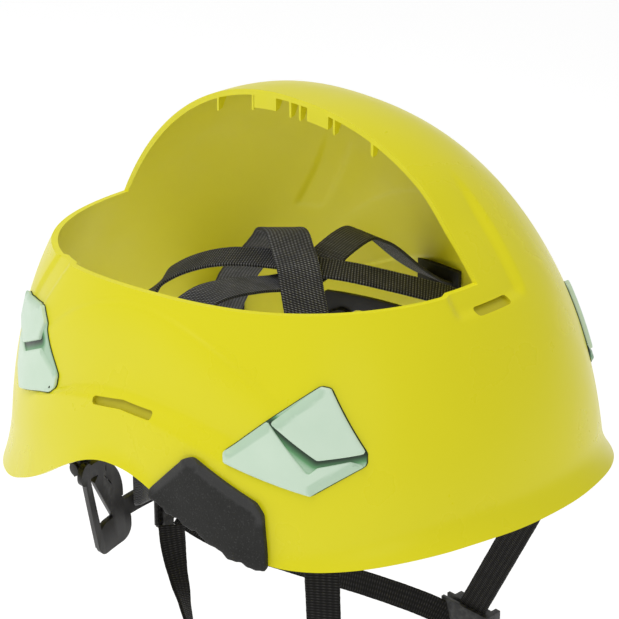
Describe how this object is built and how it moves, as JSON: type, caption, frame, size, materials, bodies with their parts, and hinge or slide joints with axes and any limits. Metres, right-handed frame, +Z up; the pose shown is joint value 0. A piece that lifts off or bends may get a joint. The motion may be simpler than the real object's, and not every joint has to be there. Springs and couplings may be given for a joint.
{
  "type": "climbing helmet",
  "caption": "Climbing and work-at-height helmet in a cutaway view: hard shell, webbing cradle, headband with nape adjuster, lamp clips and chin straps with buckle.",
  "frame": {"origin": "centre of the head opening, level with the rim at the front and the middle of the head seat", "axes": "+Z up to the crown, -Y the way the wearer faces, -X the wearer's right"},
  "size_m": [0.2284, 0.301, 0.422],
  "materials": {
    "shell_abs": "fluorescent yellow moulded shell, satin gloss",
    "cover_plastic": "fine textured black",
    "clip_plastic": "pale green satin",
    "headband_plastic": "flexible black plastic",
    "pad_foam": "padded knit over foam",
    "anchor_plastic": "black moulded clip",
    "cradle_webbing": "woven polyester webbing",
    "chin_webbing": "woven polyester webbing",
    "rivet_plastic": "snap rivet",
    "wheel_plastic": "ribbed adjusting wheel",
    "fitting_plastic": "acetal fitting",
    "button_plastic": "red push button"
  },
  "bodies": {
    "helmet": {"shell": "shell_abs", "slot_cover_right": "cover_plastic", "slot_cover_left": "cover_plastic", "lamp_clip_front_right": "clip_plastic", "lamp_clip_front_left": "clip_plastic", "lamp_clip_rear_right": "clip_plastic", "lamp_clip_rear_left": "clip_plastic", "headband": "headband_plastic", "brow_pad": "pad_foam", "anchor_front_right": "anchor_plastic", "anchor_front_left": "anchor_plastic", "anchor_side_right": "anchor_plastic", "anchor_side_left": "anchor_plastic", "anchor_rear_right": "anchor_plastic", "anchor_rear_left": "anchor_plastic", "chin_anchor_right": "anchor_plastic", "chin_anchor_left": "anchor_plastic", "cradle_strap_low": "cradle_webbing", "cradle_strap_side": "cradle_webbing", "cradle_strap_high": "cradle_webbing", "side_arm_right": "headband_plastic", "side_arm_left": "headband_plastic", "arm_rivet_right": "rivet_plastic", "arm_rivet_left": "rivet_plastic"},
    "nape": {"nape_frame": "headband_plastic", "nape_pad": "pad_foam", "nape_webbing": "chin_webbing"},
    "wheel_right": {"wheel_right": "wheel_plastic"},
    "wheel_left": {"wheel_left": "wheel_plastic"},
    "straps_right": {"strap_front_right": "chin_webbing", "strap_rear_right": "chin_webbing", "adjuster_right": "fitting_plastic", "strap_lower_right": "chin_webbing", "buckle_plug": "fitting_plastic"},
    "lever_right": {"lever_right": "fitting_plastic"},
    "straps_left": {"strap_front_left": "chin_webbing", "strap_rear_left": "chin_webbing", "adjuster_left": "fitting_plastic", "strap_lower_left": "chin_webbing", "buckle_socket": "fitting_plastic"},
    "lever_left": {"lever_left": "fitting_plastic"},
    "button": {"buckle_button": "button_plastic"}
  },
  "joints": [
    {"name": "nape_slide", "type": "slide", "parent": "helmet", "child": "nape", "axis": [0, -0.866, 0.5], "range_m": [-0.006, 0.006]},
    {"name": "wheel_right_spin", "type": "hinge", "parent": "nape", "child": "wheel_right", "pos_m": [-0.043, 0.107, -0.047], "axis": [1, 0, 0], "range_deg": [-69, 69]},
    {"name": "wheel_left_spin", "type": "hinge", "parent": "nape", "child": "wheel_left", "pos_m": [0.043, 0.107, -0.047], "axis": [1, 0, 0], "range_deg": [-69, 69]},
    {"name": "straps_right_swing", "type": "hinge", "parent": "helmet", "child": "straps_right", "pos_m": [-0.07918, -0.09113, -0.00027], "axis": [0.3381, 0.8461, -0.4121], "range_deg": [-12, 12]},
    {"name": "straps_left_swing", "type": "hinge", "parent": "helmet", "child": "straps_left", "pos_m": [0.07918, -0.09113, -0.00027], "axis": [-0.3168, 0.8556, -0.4094], "range_deg": [-12, 12]},
    {"name": "lever_right_turn", "type": "hinge", "parent": "straps_right", "child": "lever_right", "pos_m": [-0.0924, -0.104, -0.1105], "axis": [0, 1, 0], "range_deg": [0, 70]},
    {"name": "lever_left_turn", "type": "hinge", "parent": "straps_left", "child": "lever_left", "pos_m": [0.0864, -0.03, -0.1235], "axis": [0, -1, 0], "range_deg": [0, 70]},
    {"name": "button_push", "type": "slide", "parent": "straps_left", "child": "button", "axis": [-1, 0, 0], "range_m": [0, 0.0015], "stiffness_N_per_m": 300}
  ],
  "couplings": [
    {"joint": "wheel_right_spin", "follows": "nape_slide", "rad_per_m": -200},
    {"joint": "wheel_left_spin", "follows": "nape_slide", "rad_per_m": -200}
  ]
}
